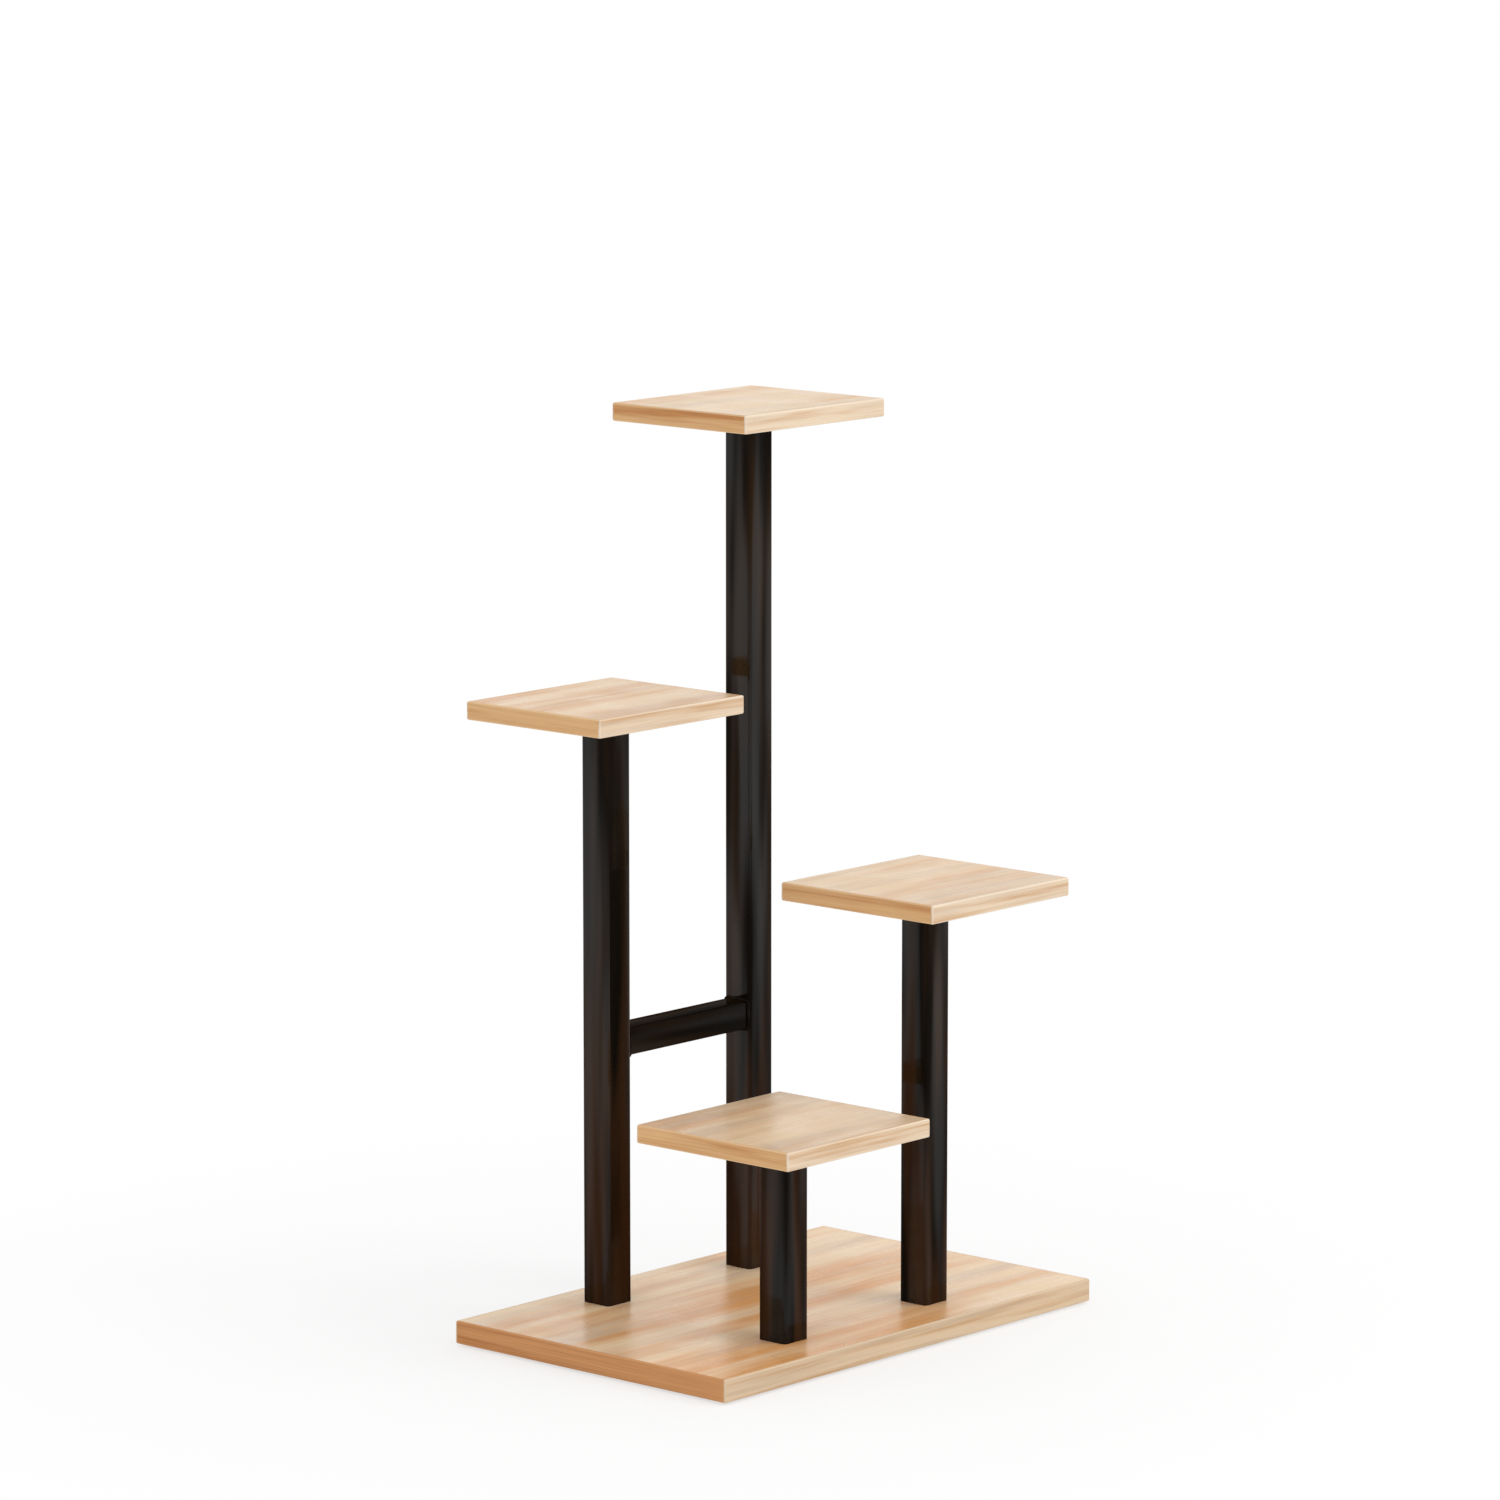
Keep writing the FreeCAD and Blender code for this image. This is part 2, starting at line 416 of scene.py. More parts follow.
def new_material(
    name: str,
) -> tuple[bpy.types.Material, Graph, bpy.types.Node, bpy.types.NodeSocket]:
    """Start a material with a Principled shader on Object coordinates.

    Args:
        name: Name of the material.

    Returns:
        The material, its graph, its shader node and its coordinates.
    """
    material = bpy.data.materials.new(name)
    material.use_nodes = True
    graph = Graph(material.node_tree)
    shader = graph.add("ShaderNodeBsdfPrincipled")
    graph.add("ShaderNodeOutputMaterial", {"Surface": shader.outputs[0]})
    place = graph.add("ShaderNodeTexCoord").outputs["Object"]
    return material, graph, shader, place


@dataclass(frozen=True)
class WoodFinish:
    """Satin wood-grain print on a board face or an edge band."""

    name: str
    cream: Tone
    honey: Tone
    ash: Tone
    line: Tone
    run: GrainRun
    streak_length: float
    streak_width: float
    line_depth: float
    fibre_depth: float
    gloss: Pair
    start: Triple = (0.0, 0.0, 0.0)
    # Paler colour of the rounded arrises: partly the trimmed band's own edge, partly a painted
    # highlight.
    arris_edge_and_highlight: Tone | None = None
    arris_share: float = 0.55
    arris_levels: Pair = (0.80, 0.99)
    gloss_scale: float = 24.0
    fibre_bump: float = 0.12
    fibre_height: float = 0.02 * MM
    ior: float = 1.46
    specular: float = 0.3

    def material(self, groups: ShaderGroups) -> bpy.types.Material:
        """Build the material.

        Args:
            groups: The shared shader groups.

        Returns:
            The finished material.
        """
        material, g, shader, place = new_material(self.name)
        turned = g.add(
            "ShaderNodeMapping",
            {"Vector": place, "Location": self.start, "Rotation": (0, 0, self.run.value)},
        ).outputs[0]
        grain = g.add(
            "ShaderNodeGroup",
            {
                "Vector": turned,
                "Cream": (*self.cream, 1),
                "Honey": (*self.honey, 1),
                "Ash": (*self.ash, 1),
                "Line": (*self.line, 1),
                "Streak Length": self.streak_length,
                "Streak Width": self.streak_width,
                "Line Depth": self.line_depth,
                "Fibre Depth": self.fibre_depth,
            },
            node_tree=groups.grain,
        ).outputs
        colour = grain["Color"]
        # Painted highlight: the rounded arrises are blended towards a paler colour, partly the
        # band's trimmed edge and partly painted light.
        if self.arris_edge_and_highlight:
            colour = g.blend(self.rounding(g), colour, (*self.arris_edge_and_highlight, 1))
        relief = {"Height": grain["Height"], "Strength": self.fibre_bump}
        bump = g.add("ShaderNodeBump", {**relief, "Distance": self.fibre_height})
        g.fill(
            shader,
            {
                "Base Color": colour,
                "Roughness": groups.roughness(g, turned, self.gloss_scale, self.gloss),
                "Normal": bump.outputs[0],
                "IOR": self.ior,
                "Specular IOR Level": self.specular,
            },
        )
        return material

    def rounding(self, g: Graph) -> bpy.types.NodeSocket:
        """Mask the rounded corners, where the surface faces no main axis.

        Args:
            g: The material's graph.

        Returns:
            The socket with the mask.
        """
        normal = g.add("ShaderNodeNewGeometry").outputs["Normal"]
        squares = g.add("ShaderNodeSeparateXYZ", {0: g.vector("MULTIPLY", normal, normal)})
        x, y, z = squares.outputs
        flat = g.math("MAXIMUM", g.math("MAXIMUM", x, y), z)
        return g.spread(flat, *self.arris_levels, self.arris_share, 0.0)


@dataclass(frozen=True)
class EnamelFinish:
    """Black pigment under a gloss coat with soft runs.

    It is duller where dust settles on top, and duller low down. Low down it is also browner: a
    painted reflection of the wooden base.
    """

    name: str
    black: Tone
    brown: Tone
    # Brown of the painted reflection of the wooden base, low on the posts.
    painted_base_reflection: Tone
    run: Triple
    tint_start: Triple
    coat_start: Triple
    coat: Pair
    dusty_coat: float
    low_reach: Pair
    painted_reflection_share: float
    low_coat: float
    run_octaves: float = 1.0
    run_levels: Pair = (0.36, 0.66)
    dust_slope: Pair = (0.2, 0.9)
    gloss: Pair = (0.30, 0.45)
    gloss_scale: float = 18.0
    peel_height: float = 0.03 * MM
    peel_bump: float = 0.25
    peel_octaves: float = 2.0
    peel_scale: float = 420.0
    coat_ior: float = 1.40
    coat_roughness: float = 0.07

    def material(self, groups: ShaderGroups) -> bpy.types.Material:
        """Build the material.

        Args:
            groups: The shared shader groups.

        Returns:
            The finished material.
        """
        material, g, shader, place = new_material(self.name)
        stretched = g.vector("DIVIDE", place, self.run)
        tint = g.noise(g.vector("ADD", stretched, self.tint_start), self.run_octaves)
        tint = g.spread(tint, *self.run_levels)
        coat = g.noise(g.vector("ADD", stretched, self.coat_start), self.run_octaves)
        coat = g.spread(coat, *self.run_levels, *self.coat)
        normal = g.add("ShaderNodeNewGeometry").outputs["Normal"]
        upward = g.add("ShaderNodeSeparateXYZ", {0: normal}).outputs[2]
        dust = g.spread(upward, *self.dust_slope, 1.0, self.dusty_coat)
        height = g.add("ShaderNodeSeparateXYZ", {0: place}).outputs[2]
        dull = g.spread(height, *self.low_reach, self.low_coat, 1.0)
        coat = g.math("MULTIPLY", g.math("MULTIPLY", coat, dust), dull)
        pigment = g.blend(tint, (*self.black, 1), (*self.brown, 1))
        # Painted reflection: towards the bottom the pigment turns a warm brown that stands in for
        # the wooden base reflected in the coat.
        painted_reflection_mask = g.spread(height, *self.low_reach, self.painted_reflection_share, 0.0)
        pigment = g.blend(g.math("MULTIPLY", tint, painted_reflection_mask), pigment, (*self.painted_base_reflection, 1))
        peel = g.noise(place, self.peel_octaves, scale=self.peel_scale)
        relief = {"Height": peel, "Strength": self.peel_bump, "Distance": self.peel_height}
        bump = g.add("ShaderNodeBump", relief).outputs[0]
        g.fill(
            shader,
            {
                "Base Color": pigment,
                "Coat Weight": coat,
                "Roughness": groups.roughness(g, place, self.gloss_scale, self.gloss),
                "Normal": bump,
                "Coat Normal": bump,
                "Specular IOR Level": 0.0,
                "Coat IOR": self.coat_ior,
                "Coat Roughness": self.coat_roughness,
            },
        )
        return material


@dataclass(frozen=True)
class ZincFinish:
    """Bright zinc plating on bolts, washers, nuts and screws."""

    name: str
    colour: Tone
    gloss: Pair
    gloss_scale: float = 260.0

    def material(self, groups: ShaderGroups) -> bpy.types.Material:
        """Build the material.

        Args:
            groups: The shared shader groups.

        Returns:
            The finished material.
        """
        material, g, shader, place = new_material(self.name)
        roughness = groups.roughness(g, place, self.gloss_scale, self.gloss)
        plating = {"Base Color": (*self.colour, 1), "Metallic": 1.0, "Roughness": roughness}
        g.fill(shader, plating)
        return material


@dataclass(frozen=True)
class FoamFinish:
    """Matt black foam rubber with a fine cell texture."""

    name: str
    colour: Tone
    cell_scale: float = 1400.0
    cell_bump: float = 0.5
    cell_height: float = 0.1 * MM
    roughness: float = 0.9

    def material(self) -> bpy.types.Material:
        """Build the material.

        Returns:
            The finished material.
        """
        material, g, shader, place = new_material(self.name)
        cells = g.add("ShaderNodeTexVoronoi", {"Vector": place, "Scale": self.cell_scale})
        relief = {"Height": cells.outputs[0], "Strength": self.cell_bump}
        bump = g.add("ShaderNodeBump", {**relief, "Distance": self.cell_height}).outputs[0]
        rubber = {"Base Color": (*self.colour, 1), "Roughness": self.roughness, "Normal": bump}
        g.fill(shader, rubber)
        return material


@dataclass(frozen=True)
class Finishes:
    """All finished materials of the shelf."""

    face: bpy.types.Material
    base_face: bpy.types.Material
    long_band: bpy.types.Material
    base_long_band: bpy.types.Material
    side_band: bpy.types.Material
    base_side_band: bpy.types.Material
    post_enamel: bpy.types.Material
    bar_enamel: bpy.types.Material
    plate_enamel: bpy.types.Material
    zinc: bpy.types.Material
    foam: bpy.types.Material


def make_finishes() -> Finishes:
    """Build every material once.

    Returns:
        The materials by their use.
    """
    groups = ShaderGroups(wood_grain_group(GrainPattern()), mottle_group())
    face = WoodFinish(
        name="board face",
        cream=tone(236, 206, 167),
        honey=tone(218, 160, 102),
        ash=tone(205, 180, 152),
        line=tone(194, 141, 90),
        run=GrainRun.ALONG_X,
        streak_length=0.34,
        streak_width=0.027,
        line_depth=0.50,
        fibre_depth=0.07,
        gloss=(0.26, 0.36),
        start=(3.1, 0.83, 0.0),
    )
    # The base's faces are brighter than the shelves' faces, painted light that offsets the shade
    # the shelves cast on them, and slightly more orange.
    base_face = replace(
        face,
        name="base board face",
        cream=tone(246, 217, 178),
        honey=tone(232, 168, 102),
        ash=tone(214, 190, 168),
        line=tone(206, 150, 98),
    )
    long_band = WoodFinish(
        name="long edge band",
        cream=tone(230, 209, 182),
        honey=tone(202, 158, 112),
        ash=tone(206, 186, 164),
        line=tone(176, 132, 90),
        run=GrainRun.ALONG_X,
        streak_length=0.17,
        streak_width=0.0065,
        line_depth=0.40,
        fibre_depth=0.05,
        gloss=(0.42, 0.52),
        arris_edge_and_highlight=tone(244, 228, 206),
    )
    # The base's bands are darker than the shelves' bands, painted shade of the base's less lit
    # edges, and their paler arris colour is toned down.
    base_long_band = replace(
        long_band,
        name="base long edge band",
        cream=tone(219, 194, 162),
        honey=tone(194, 149, 102),
        ash=tone(195, 172, 146),
        line=tone(168, 124, 84),
        arris_edge_and_highlight=tone(224, 199, 166),
    )
    side_band = WoodFinish(
        name="side edge band",
        cream=tone(226, 181, 128),
        honey=tone(198, 136, 78),
        ash=tone(214, 162, 110),
        line=tone(158, 98, 50),
        run=GrainRun.ALONG_Y,
        streak_length=0.16,
        streak_width=0.0055,
        line_depth=0.50,
        fibre_depth=0.08,
        gloss=(0.42, 0.52),
        arris_edge_and_highlight=tone(238, 206, 164),
    )
    # Darker again on the base's sides, painted shade, with deeper grain lines.
    base_side_band = replace(
        side_band,
        name="base side edge band",
        cream=tone(212, 152, 97),
        honey=tone(194, 124, 67),
        ash=tone(204, 145, 92),
        line=tone(150, 92, 48),
        line_depth=0.85,
        arris_edge_and_highlight=tone(214, 158, 104),
    )
    post_enamel = EnamelFinish(
        name="post enamel",
        black=tone(17, 13, 9),
        brown=tone(40, 27, 15),
        # The warm brown low down is a painted reflection of the wooden base.
        painted_base_reflection=tone(54, 33, 18),
        run=(16.0 * MM, 16.0 * MM, 240.0 * MM),
        tint_start=(19.7, 17.8, 4.4),
        coat_start=(27.9, 33.2, 1.4),
        coat=(0.08, 0.82),
        dusty_coat=0.08,
        low_reach=(0.12, 0.38),
        painted_reflection_share=0.90,
        low_coat=0.68,
    )
    bar_enamel = replace(
        post_enamel,
        name="bar enamel",
        run=(240.0 * MM, 16.0 * MM, 16.0 * MM),
        tint_start=(0.0, 0.0, 0.0),
        coat=(0.04, 0.30),
        dusty_coat=0.22,
        painted_reflection_share=0.0,
        low_coat=1.0,
    )
    plate_enamel = replace(
        post_enamel,
        name="plate enamel",
        run=(90.0 * MM, 90.0 * MM, 90.0 * MM),
        coat=(0.26, 0.56),
        painted_reflection_share=0.0,
        low_coat=1.0,
    )
    return Finishes(
        face=face.material(groups),
        base_face=base_face.material(groups),
        long_band=long_band.material(groups),
        base_long_band=base_long_band.material(groups),
        side_band=side_band.material(groups),
        base_side_band=base_side_band.material(groups),
        post_enamel=post_enamel.material(groups),
        bar_enamel=bar_enamel.material(groups),
        plate_enamel=plate_enamel.material(groups),
        zinc=ZincFinish("zinc plating", tone(196, 198, 200), (0.22, 0.42)).material(groups),
        foam=FoamFinish("foam rubber", tone(28, 28, 29)).material(),
    )


def dress_node(node: str, material: bpy.types.Material) -> None:
    """Give a CAD node its finish.

    Args:
        node: Name of the CAD node.
        material: The finish for all its faces.
    """
    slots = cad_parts[node].data.materials
    if not slots:
        slots.append(material)
    for index in range(len(slots)):
        slots[index] = material
    LOG.info("dressed %s with %s", node, material.name)


def new_piece(
    name: str, points: Sequence[Sequence[float]], edges: Sequence[tuple[int, int]]
) -> bpy.types.Object:
    """Make an object at the origin from points and edges.

    Args:
        name: Name of the object.
        points: Its vertices in the row frame.
        edges: Pairs of vertex numbers.

    Returns:
        The linked object.
    """
    mesh = bpy.data.meshes.new(name)
    mesh.from_pydata([tuple(point) for point in points], list(edges), [])
    piece = bpy.data.objects.new(name, mesh)
    bpy.context.scene.collection.objects.link(piece)
    return piece


def grow(piece: bpy.types.Object, tree: bpy.types.NodeTree, values: dict[str, Any]) -> None:
    """Run a Geometry Nodes tree on a piece and keep the result as its plain mesh.

    Args:
        piece: The object whose mesh the tree starts from.
        tree: The Geometry Nodes tree.
        values: Its inputs by name.
    """
    modifier = piece.modifiers.new(tree.name, "NODES")
    modifier.node_group = tree
    for item in tree.interface.items_tree:
        if item.item_type == "SOCKET" and item.in_out == "INPUT" and item.name in values:
            modifier[item.identifier] = values[item.name]
    graph = bpy.context.evaluated_depsgraph_get()
    mesh = bpy.data.meshes.new_from_object(piece.evaluated_get(graph))
    piece.modifiers.remove(modifier)
    piece.data = mesh


def weld_tree() -> bpy.types.NodeTree:
    """Build the tree that sweeps a rippled weld bead along loops of edges.

    Returns:
        A Geometry Nodes tree with the bead's sizes as inputs.
    """
    g, given, result = start_tree(
        "weld bead",
        "GeometryNodeTree",
        {
            "Geometry": (GEOMETRY, None),
            "Bead Radius": ("NodeSocketFloat", 1.7 * MM),
            "Bead Sides": ("NodeSocketInt", 12),
            "Ripple Length": ("NodeSocketFloat", 1.5 * MM),
            "Ripple Rings": ("NodeSocketInt", 5),
            "Ripple Depth": ("NodeSocketFloat", 0.2),
            "Unevenness": ("NodeSocketFloat", 0.08),
            "Seed": ("NodeSocketInt", 1),
            "Material": ("NodeSocketMaterial", None),
        },
        {"Geometry": GEOMETRY},
    )
    rings, uneven = given["Ripple Rings"], given["Unevenness"]
    path = g.add("GeometryNodeMeshToCurve", {"Mesh": given["Geometry"]})
    step = g.math("DIVIDE", given["Ripple Length"], rings)
    path = g.add(
        "GeometryNodeResampleCurve", {"Curve": path.outputs[0], "Length": step}, mode="LENGTH"
    )
    ripple = g.math("DIVIDE", g.add("GeometryNodeInputIndex").outputs[0], rings)
    crest = g.math("ABSOLUTE", g.math("SINE", g.math("MULTIPLY", ripple, math.pi)))
    valley = g.math("MULTIPLY", g.math("SUBTRACT", 1.0, crest), given["Ripple Depth"])
    size = g.add(
        "FunctionNodeRandomValue",
        {
            2: g.math("SUBTRACT", 1.0, uneven),
            3: g.math("ADD", 1.0, uneven),
            "ID": g.math("FLOOR", ripple),
            "Seed": given["Seed"],
        },
        data_type="FLOAT",
    )
    scale = g.math("MULTIPLY", g.math("SUBTRACT", 1.0, valley), size.outputs[1])
    profile = g.add(
        "GeometryNodeCurvePrimitiveCircle",
        {"Resolution": given["Bead Sides"], "Radius": given["Bead Radius"]},
        mode="RADIUS",
    )
    bead = g.add(
        "GeometryNodeCurveToMesh",
        {"Curve": path.outputs[0], "Profile Curve": profile.outputs[0], "Scale": scale},
    )
    smooth = g.add("GeometryNodeSetShadeSmooth", {"Geometry": bead.outputs[0]})
    g.finish_mesh(smooth, given["Material"], result)
    return g.tree


def screw_tree() -> bpy.types.NodeTree:
    """Build the tree that sets a countersunk cross-head screw on every point.

    The screws point up, with their heads flush at the points.

    Returns:
        A Geometry Nodes tree with the screw's sizes as inputs.
    """
    g, given, result = start_tree(
        "countersunk screws",
        "GeometryNodeTree",
        {
            "Geometry": (GEOMETRY, None),
            "Head Radius": ("NodeSocketFloat", 4.0 * MM),
            "Core Radius": ("NodeSocketFloat", 1.5 * MM),
            "Thread Radius": ("NodeSocketFloat", 2.0 * MM),
            "Length": ("NodeSocketFloat", 14.0 * MM),
            "Pitch": ("NodeSocketFloat", 1.6 * MM),
            "Recess Length": ("NodeSocketFloat", 4.4 * MM),
            "Recess Width": ("NodeSocketFloat", 1.0 * MM),
            "Recess Depth": ("NodeSocketFloat", 1.4 * MM),
            "Thread Sink": ("NodeSocketFloat", 0.13 * MM),
            "Lap": ("NodeSocketFloat", 0.1 * MM),
            "Sides": ("NodeSocketInt", 32),
            "Turn Steps": ("NodeSocketInt", 16),
            "Ridge Sides": ("NodeSocketInt", 4),
            "Material": ("NodeSocketMaterial", None),
        },
        {"Geometry": GEOMETRY},
    )
    head_radius, core, sides = given["Head Radius"], given["Core Radius"], given["Sides"]
    depth = g.math("SUBTRACT", head_radius, core)
    head = g.add(
        "GeometryNodeMeshCone",
        {"Vertices": sides, "Radius Top": core, "Radius Bottom": head_radius, "Depth": depth},
    )
    # The arms of the recess lie half above the head, so they are twice as deep.
    long, wide = given["Recess Length"], given["Recess Width"]
    deep = g.math("MULTIPLY", given["Recess Depth"], 2.0)
    cut = g.add(
        "GeometryNodeMeshBoolean", {0: head.outputs[0]}, operation="DIFFERENCE", solver="EXACT"
    )
    for a, b in ((long, wide), (wide, long)):
        arm = g.add("GeometryNodeMeshCube", {"Size": g.join(a, b, deep)})
        g.fill(cut, {1: arm.outputs[0]})

    # The point is as long as the core is thick, and the shank laps head and point.
    tip = g.math("MULTIPLY", core, 2.0)
    straight = g.math("SUBTRACT", g.math("SUBTRACT", given["Length"], depth), tip)
    shank_foot = g.math("SUBTRACT", depth, given["Lap"])
    shank_length = g.math("ADD", straight, given["Lap"])
    shank_middle = g.math("ADD", shank_foot, g.math("MULTIPLY", shank_length, 0.5))
    shank = g.add(
        "GeometryNodeMeshCylinder", {"Vertices": sides, "Radius": core, "Depth": shank_length}
    )
    shank = g.raised(shank, shank_middle)
    point = g.add(
        "GeometryNodeMeshCone",
        {"Vertices": sides, "Radius Top": 0.0, "Radius Bottom": core, "Depth": tip},
    )
    point = g.raised(point, g.math("ADD", shank_foot, straight))

    root = g.math("SUBTRACT", core, given["Thread Sink"])
    helix = g.add(
        "GeometryNodeCurveSpiral",
        {
            "Resolution": given["Turn Steps"],
            "Rotations": g.math("DIVIDE", straight, given["Pitch"]),
            "Start Radius": root,
            "End Radius": root,
            "Height": straight,
        },
    )
    ridge = g.add(
        "GeometryNodeCurvePrimitiveCircle",
        {
            "Resolution": given["Ridge Sides"],
            "Radius": g.math("SUBTRACT", given["Thread Radius"], root),
        },
        mode="RADIUS",
    )
    thread = g.add(
        "GeometryNodeCurveToMesh",
        {"Curve": helix.outputs[0], "Profile Curve": ridge.outputs[0], "Fill Caps": True},
    )
    thread = g.raised(thread, depth)
    screw = g.add("GeometryNodeMeshBoolean", operation="UNION", solver="EXACT")
    for body in (cut, shank, point, thread):
        g.fill(screw, {1: body.outputs[0]})
    places = g.add(
        "GeometryNodeInstanceOnPoints",
        {"Points": given["Geometry"], "Instance": screw.outputs[0]},
    )
    g.finish_mesh(places, given["Material"], result)
    return g.tree


@dataclass
class BandedBoard:
    """A board and the four bands on its edges."""

    name: str

    def dress(self, finishes: Finishes) -> None:
        """Give the faces and the edges their wood grain.

        Args:
            finishes: The finished materials.
        """
        # The base takes its own copies: painted light on its faces, painted shade on its bands.
        is_base = self.name == "base"
        dress_node(f"{self.name}_board", finishes.base_face if is_base else finishes.face)
        long_band = finishes.base_long_band if is_base else finishes.long_band
        for side in ("front", "rear"):
            dress_node(f"{self.name}_{side}_band", long_band)
        side_band = finishes.base_side_band if is_base else finishes.side_band
        for side in ("left", "right"):
            dress_node(f"{self.name}_{side}_band", side_band)


@dataclass
class WeldRing:
    """The weld round a square section, as a rippled bead that replaces the CAD weld."""

    node: str
    loops: list[list[Vector]]
    bead_radius: float
    seed: int

    def build(self, tree: bpy.types.NodeTree, enamel: bpy.types.Material) -> None:
        """Lay the bead and put it in the CAD weld's place.

        Args:
            tree: The weld bead tree.
            enamel: The finish of the weld.
        """
        points: list[Vector] = []
        edges: list[tuple[int, int]] = []
        for loop in self.loops:
            first = len(points)
            count = len(loop)
            points.extend(loop)
            edges.extend((first + i, first + (i + 1) % count) for i in range(count))
        piece = new_piece(f"{self.node}_bead", points, edges)
        grow(piece, tree, {"Bead Radius": self.bead_radius, "Seed": self.seed, "Material": enamel})
        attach(piece, "root")
        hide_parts(self.node)
        LOG.info("built %s from %d loops", piece.name, len(self.loops))


def square_loop(half: float, corner: float, steps: int = 6) -> list[tuple[float, float]]:
    """Trace a square with rounded corners.

    Args:
        half: Half its side.
        corner: Its corner radius.
        steps: Pieces of each corner arc.

    Returns:
        The points of the outline in order.
    """
    points = []
    for quarter in range(4):
        base = quarter * math.pi / 2
        turn = base + math.pi / 4
        centre_x = math.copysign(half - corner, math.cos(turn))
        centre_y = math.copysign(half - corner, math.sin(turn))
        for step in range(steps + 1):
            angle = base + step * math.pi / 2 / steps
            x = centre_x + corner * math.cos(angle)
            y = centre_y + corner * math.sin(angle)
            points.append((x, y))
    return points


@dataclass
class PostAssembly:
    """A post with the plates at its ends and its shelf."""

    place: PostPlace
    weld_stand_off: float = 0.7 * MM
    weld_radius: float = 1.75 * MM
    corner: float = 3.0 * MM

    @property
    def name(self) -> str:
        """Name of the post's place."""
        return self.place.value

    def dress(self, finishes: Finishes) -> None:
        """Give the steel its enamel and the shelf its wood grain.

        Args:
            finishes: The finished materials.
        """
        dress_node(f"{self.name}_post", finishes.post_enamel)
        for plate in ("foot_plate", "top_plate"):
            dress_node(f"{self.name}_{plate}", finishes.plate_enamel)
        BandedBoard(f"{self.name}_shelf").dress(finishes)

    def plate_weld(self, seed: int) -> WeldRing:
        """Place the weld between the post and its top plate.

        Args:
            seed: Seed of the bead's unevenness.

        Returns:
            The weld, not built yet.
        """
        low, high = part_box(f"{self.name}_post")
        middle = (low + high) / 2
        half = (high.x - low.x) / 2 + self.weld_stand_off
        loop = [
            Vector((middle.x + x, middle.y + y, high.z - self.weld_stand_off))
            for x, y in square_loop(half, self.corner)
        ]
        return WeldRing(f"{self.name}_plate_weld", [loop], self.weld_radius, seed)

    def screw_points(self, inset: float) -> list[Vector]:
        """Return the screw heads' places on the underside of the top plate.

        Args:
            inset: Distance from the plate's edges to a screw.

        Returns:
            Four points.
        """
        low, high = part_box(f"{self.name}_top_plate")
        return [
            Vector((x, y, low.z))
            for x in (low.x + inset, high.x - inset)
            for y in (low.y + inset, high.y - inset)
        ]


@dataclass
class Crossbar:
    """The bar between the rear posts and its two welds."""

    weld_stand_off: float = 0.5 * MM
    weld_radius: float = 1.65 * MM
    weld_seed: int = 9
    corner: float = 2.5 * MM

    def dress(self, finishes: Finishes) -> None:
        """Give the bar its enamel."""
        dress_node("crossbar", finishes.bar_enamel)

    def welds(self) -> WeldRing:
        """Place the welds at both ends of the bar.

        Returns:
            The welds, not built yet.
        """
        low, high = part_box("crossbar")
        middle = (low + high) / 2
        half = (high.z - low.z) / 2 + self.weld_stand_off
        outline = square_loop(half, self.corner)
        loops = [
            [Vector((x, middle.y + y, middle.z + z)) for y, z in outline]
            for x in (low.x + self.weld_stand_off, high.x - self.weld_stand_off)
        ]
        return WeldRing("crossbar_welds", loops, self.weld_radius, self.weld_seed)


@dataclass
class Fasteners:
    """Bolts and washers under the base, nuts in the posts, and the shelves' screws."""

    posts: list[PostAssembly]
    screw_inset: float = 10.0 * MM
    head_radius: float = 4.0 * MM
    thread_radius: float = 2.0 * MM
    length: float = 14.0 * MM

    def dress(self, finishes: Finishes) -> None:
        """Give the bolts, washers and nuts their plating."""
        for node in ("base_bolts", "base_washers", "weld_nuts"):
            dress_node(node, finishes.zinc)

    def build(self, finishes: Finishes) -> None:
        """Set the cross-head screws in place of the plain ones.

        Args:
            finishes: The finished materials.
        """
        points = [point for post in self.posts for point in post.screw_points(self.screw_inset)]
        screws = new_piece("cross_head_screws", points, [])
        sizes = {
            "Head Radius": self.head_radius,
            "Thread Radius": self.thread_radius,
            "Length": self.length,
        }
        grow(screws, screw_tree(), {**sizes, "Material": finishes.zinc})
        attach(screws, "root")
        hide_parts("shelf_screws")
        LOG.info("built %d screws", len(points))


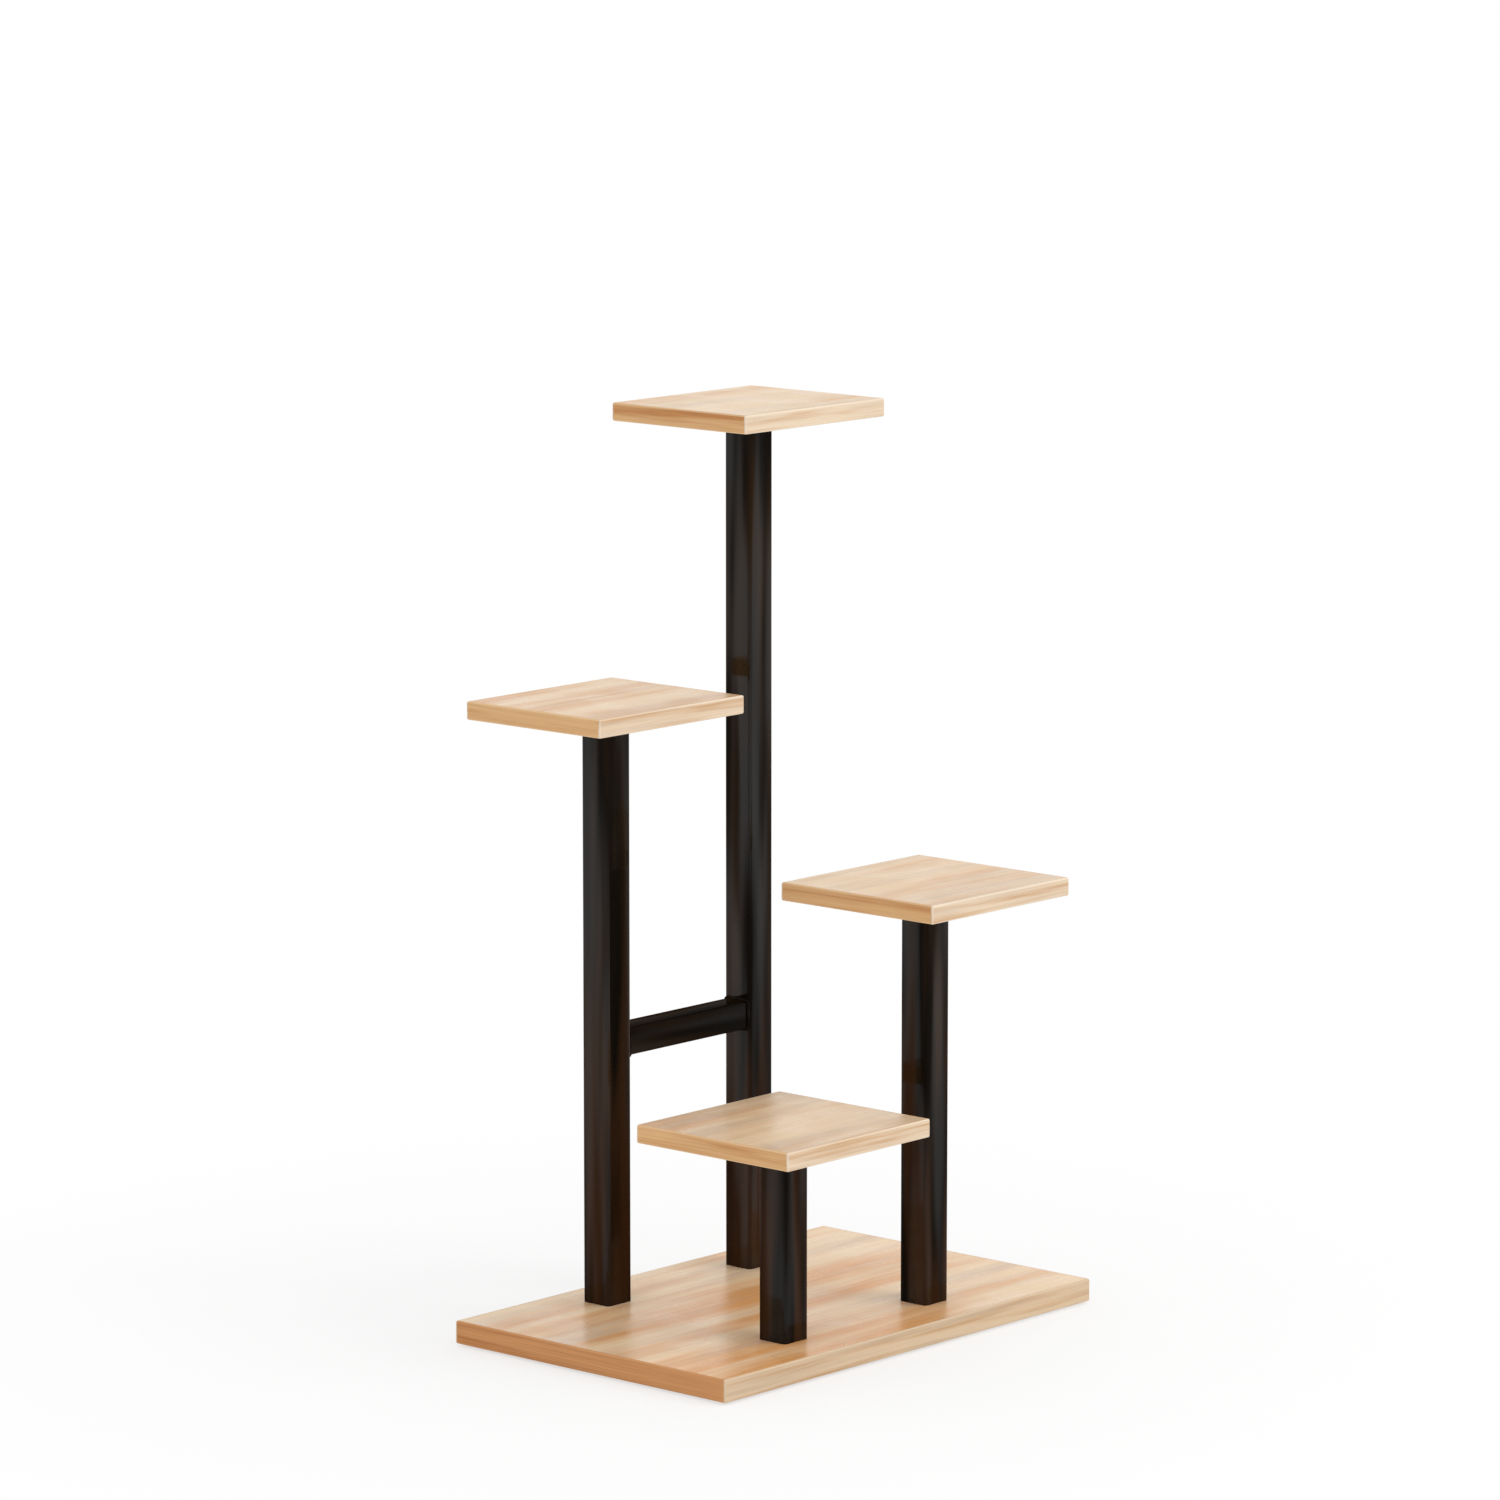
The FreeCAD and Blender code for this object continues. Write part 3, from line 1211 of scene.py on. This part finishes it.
@dataclass
class Stage:
    """Pale floor, soft studio light and the camera."""

    floor_side: float = 120.0
    floor_gap: float = 0.1 * MM
    floor_level: float = 0.95
    shadow_share: float = 0.36
    shadow_reach: Pair = (0.35, 1.00)
    ambient: float = 0.88
    key_place: Triple = (1.6, -3.4, 3.0)
    key_aim: Triple = (0.0, 0.0, 0.35)
    key_side: float = 2.4
    key_power: float = 58.0
    camera_place: Triple = (-4.52306, -3.98220, 1.48882)
    camera_yaw: float = 48.42
    camera_pitch: float = 9.28
    lens: float = 171.34
    sensor_width: float = 36.0
    sight: float = 300.0

    def build(self) -> None:
        """Make the floor, the world, the lamp and the camera."""
        self.make_floor()
        self.make_world()
        self.make_lamp()
        self.make_camera()
        bpy.context.scene.view_settings.view_transform = "Standard"

    @staticmethod
    def background_rays(g: Graph) -> bpy.types.NodeSocket:
        """Mark the rays that see the background: straight, mirrored or through glass.

        Args:
            g: Graph of the floor's material or of the world.

        Returns:
            The socket that is 1 for these rays.
        """
        path = g.add("ShaderNodeLightPath")
        seen = g.math("MAXIMUM", path.outputs["Is Camera Ray"], path.outputs["Is Glossy Ray"])
        return g.math("MAXIMUM", seen, path.outputs["Is Transmission Ray"])

    def make_floor(self) -> None:
        """Make the floor, white to the camera but for the object's shadow, clear from below."""
        half = self.floor_side / 2
        mesh = bpy.data.meshes.new("floor")
        corners = [(-half, -half), (half, -half), (half, half), (-half, half)]
        mesh.from_pydata([(x, y, -self.floor_gap) for x, y in corners], [], [(0, 1, 2, 3)])
        floor = bpy.data.objects.new("floor", mesh)
        bpy.context.scene.collection.objects.link(floor)
        material = bpy.data.materials.new("floor")
        material.use_nodes = True
        g = Graph(material.node_tree)
        pale = (self.floor_level, self.floor_level, self.floor_level, 1)
        matt = g.add("ShaderNodeBsdfDiffuse", {"Color": pale}).outputs[0]
        white = g.add("ShaderNodeEmission", {"Color": WHITE, "Strength": 1.0}).outputs[0]
        place = g.add("ShaderNodeTexCoord").outputs["Object"]
        away = g.add("ShaderNodeVectorMath", {0: place}, operation="LENGTH").outputs["Value"]
        plain = g.spread(away, *self.shadow_reach, 1.0 - self.shadow_share, 1.0)
        share = g.math("MULTIPLY", plain, self.background_rays(g))
        top = g.add("ShaderNodeMixShader", {0: share, 1: matt, 2: white}).outputs[0]
        below = g.add("ShaderNodeNewGeometry").outputs["Backfacing"]
        clear = g.add("ShaderNodeBsdfTransparent").outputs[0]
        surface = g.add("ShaderNodeMixShader", {0: below, 1: top, 2: clear}).outputs[0]
        g.add("ShaderNodeOutputMaterial", {"Surface": surface})
        mesh.materials.append(material)

    def make_world(self) -> None:
        """Make a white surround that lights the object at a plain level."""
        world = bpy.data.worlds.new("studio")
        bpy.context.scene.world = world
        world.use_nodes = True
        g = Graph(world.node_tree)
        strength = g.spread(self.background_rays(g), 0.0, 1.0, self.ambient, 1.0)
        surround = g.add("ShaderNodeBackground", {"Color": WHITE, "Strength": strength})
        g.add("ShaderNodeOutputWorld", {"Surface": surround.outputs[0]})

    def make_lamp(self) -> None:
        """Make a soft square lamp that faces the middle of the object."""
        lamp = bpy.data.lights.new("key lamp", "AREA")
        lamp.shape, lamp.size, lamp.energy = "SQUARE", self.key_side, self.key_power
        holder = bpy.data.objects.new("key lamp", lamp)
        ahead = Vector(self.key_aim) - Vector(self.key_place)
        holder.location = self.key_place
        holder.rotation_euler = ahead.to_track_quat("-Z", "Y").to_euler()
        bpy.context.scene.collection.objects.link(holder)

    def make_camera(self) -> None:
        """Make the camera at the photograph's viewing angle."""
        yaw, pitch = math.radians(self.camera_yaw), math.radians(self.camera_pitch)
        level = math.cos(pitch)
        ahead = Vector((math.sin(yaw) * level, math.cos(yaw) * level, -math.sin(pitch)))
        data = bpy.data.cameras.new("camera")
        data.sensor_width, data.lens, data.clip_end = self.sensor_width, self.lens, self.sight
        camera = bpy.data.objects.new("camera", data)
        camera.location = self.camera_place
        camera.rotation_euler = ahead.to_track_quat("-Z", "Y").to_euler()
        bpy.context.scene.collection.objects.link(camera)
        bpy.context.scene.camera = camera


def main() -> None:
    """Dress the frame, build the finer pieces and set the stage."""
    logging.basicConfig(level=logging.INFO, format="%(name)s: %(message)s")
    finishes = make_finishes()
    posts = [PostAssembly(place) for place in PostPlace]
    BandedBoard("base").dress(finishes)
    dress_node("floor_pads", finishes.foam)
    bead = weld_tree()
    for seed, post in enumerate(posts, start=1):
        post.dress(finishes)
        post.plate_weld(seed).build(bead, finishes.post_enamel)
    crossbar = Crossbar()
    crossbar.dress(finishes)
    crossbar.welds().build(bead, finishes.bar_enamel)
    fasteners = Fasteners(posts)
    fasteners.dress(finishes)
    fasteners.build(finishes)
    Stage().build()


if __name__ == "__main__":
    main()
